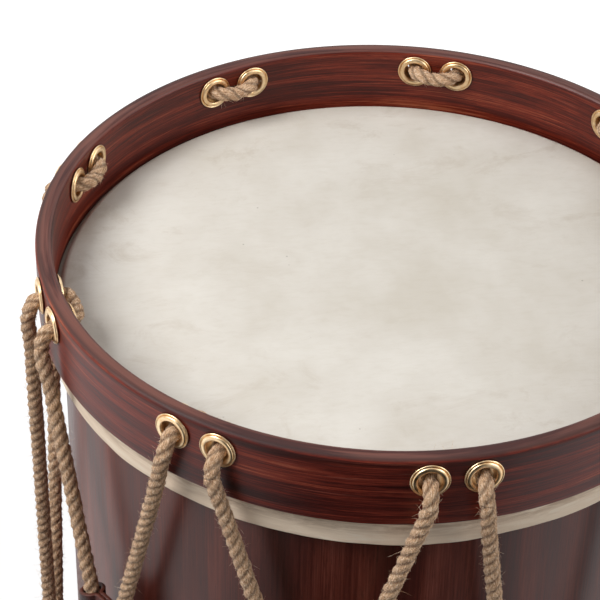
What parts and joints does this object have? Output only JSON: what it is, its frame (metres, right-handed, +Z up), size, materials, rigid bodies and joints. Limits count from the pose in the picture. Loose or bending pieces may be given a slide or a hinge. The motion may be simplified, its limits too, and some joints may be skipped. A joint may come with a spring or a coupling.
{
  "type": "renaissance drum",
  "caption": "Rope-tensioned renaissance drum: bent wooden shell, skin heads, wooden counterhoops with brass eyelets, zigzag rope and sliding leather tugs.",
  "frame": {"origin": "on the floor, on the drum's axis: centre of the plane of the bottom counterhoop's rim", "axes": "+Z up along the drum's axis to the batter head, -Y towards the front, where a pair of top eyelets is centred, +X to the right"},
  "size_m": [0.4042, 0.4035, 0.431],
  "materials": {
    "shell_wood": "dark mahogany stain, upright grain, satin varnish",
    "hoop_wood": "dark mahogany stain, grain round the hoop, satin varnish",
    "ring_wood": "plain unfinished hardwood inside the shell",
    "flesh_hoop_wood": "plain bent ash",
    "skin": "natural calfskin, matt cream with brown mottling",
    "brass": "bright rolled brass",
    "rope": "three-strand laid natural fibre rope, slightly hairy",
    "leather": "dark red-brown vegetable-tanned leather, stitched"
  },
  "bodies": {
    "drum": {"shell": "shell_wood", "vent_eyelet": "brass", "top_reinforcing_ring": "ring_wood", "bottom_reinforcing_ring": "ring_wood", "batter_head": "skin", "bottom_head": "skin", "top_flesh_hoop": "flesh_hoop_wood", "bottom_flesh_hoop": "flesh_hoop_wood", "top_counterhoop": "hoop_wood", "bottom_counterhoop": "hoop_wood", "top_eyelet_01": "brass", "top_eyelet_02": "brass", "top_eyelet_03": "brass", "top_eyelet_04": "brass", "top_eyelet_05": "brass", "top_eyelet_06": "brass", "top_eyelet_07": "brass", "top_eyelet_08": "brass", "top_eyelet_09": "brass", "top_eyelet_10": "brass", "top_eyelet_11": "brass", "top_eyelet_12": "brass", "top_eyelet_13": "brass", "top_eyelet_14": "brass", "top_eyelet_15": "brass", "top_eyelet_16": "brass", "top_eyelet_17": "brass", "top_eyelet_18": "brass", "bottom_eyelet_01": "brass", "bottom_eyelet_02": "brass", "bottom_eyelet_03": "brass", "bottom_eyelet_04": "brass", "bottom_eyelet_05": "brass", "bottom_eyelet_06": "brass", "bottom_eyelet_07": "brass", "bottom_eyelet_08": "brass", "bottom_eyelet_09": "brass", "bottom_eyelet_10": "brass", "bottom_eyelet_11": "brass", "bottom_eyelet_12": "brass", "bottom_eyelet_13": "brass", "bottom_eyelet_14": "brass", "bottom_eyelet_15": "brass", "bottom_eyelet_16": "brass", "bottom_eyelet_17": "brass", "bottom_eyelet_18": "brass", "tension_rope": "rope"},
    "tug_1": {"tension_tug_1": "leather"},
    "tug_2": {"tension_tug_2": "leather"},
    "tug_3": {"tension_tug_3": "leather"},
    "tug_4": {"tension_tug_4": "leather"},
    "tug_5": {"tension_tug_5": "leather"},
    "tug_6": {"tension_tug_6": "leather"},
    "tug_7": {"tension_tug_7": "leather"},
    "tug_8": {"tension_tug_8": "leather"},
    "tug_9": {"tension_tug_9": "leather"}
  },
  "joints": [
    {"name": "tug_1_slide", "type": "slide", "parent": "drum", "child": "tug_1", "axis": [-0.0064, 0.0176, 0.9998], "range_m": [-0.0102, 0.1938], "deforming": ["tension_rope"]},
    {"name": "tug_2_slide", "type": "slide", "parent": "drum", "child": "tug_2", "axis": [-0.0162, 0.0094, 0.9998], "range_m": [-0.1632, 0.0408], "deforming": ["tension_rope"]},
    {"name": "tug_3_slide", "type": "slide", "parent": "drum", "child": "tug_3", "axis": [-0.0184, -0.0032, 0.9998], "range_m": [-0.0102, 0.1938], "deforming": ["tension_rope"]},
    {"name": "tug_4_slide", "type": "slide", "parent": "drum", "child": "tug_4", "axis": [-0.012, -0.0143, 0.9998], "range_m": [-0.1693, 0.0347], "deforming": ["tension_rope"]},
    {"name": "tug_5_slide", "type": "slide", "parent": "drum", "child": "tug_5", "axis": [0, -0.0187, 0.9998], "range_m": [-0.0122, 0.1918], "deforming": ["tension_rope"]},
    {"name": "tug_6_slide", "type": "slide", "parent": "drum", "child": "tug_6", "axis": [0.012, -0.0143, 0.9998], "range_m": [-0.1591, 0.0449], "deforming": ["tension_rope"]},
    {"name": "tug_7_slide", "type": "slide", "parent": "drum", "child": "tug_7", "axis": [0.0184, -0.0032, 0.9998], "range_m": [-0.0102, 0.1938], "deforming": ["tension_rope"]},
    {"name": "tug_8_slide", "type": "slide", "parent": "drum", "child": "tug_8", "axis": [0.0162, 0.0094, 0.9998], "range_m": [-0.1634, 0.0406], "deforming": ["tension_rope"]},
    {"name": "tug_9_slide", "type": "slide", "parent": "drum", "child": "tug_9", "axis": [0.0064, 0.0176, 0.9998], "range_m": [-0.1644, 0.0396], "deforming": ["tension_rope"]}
  ]
}
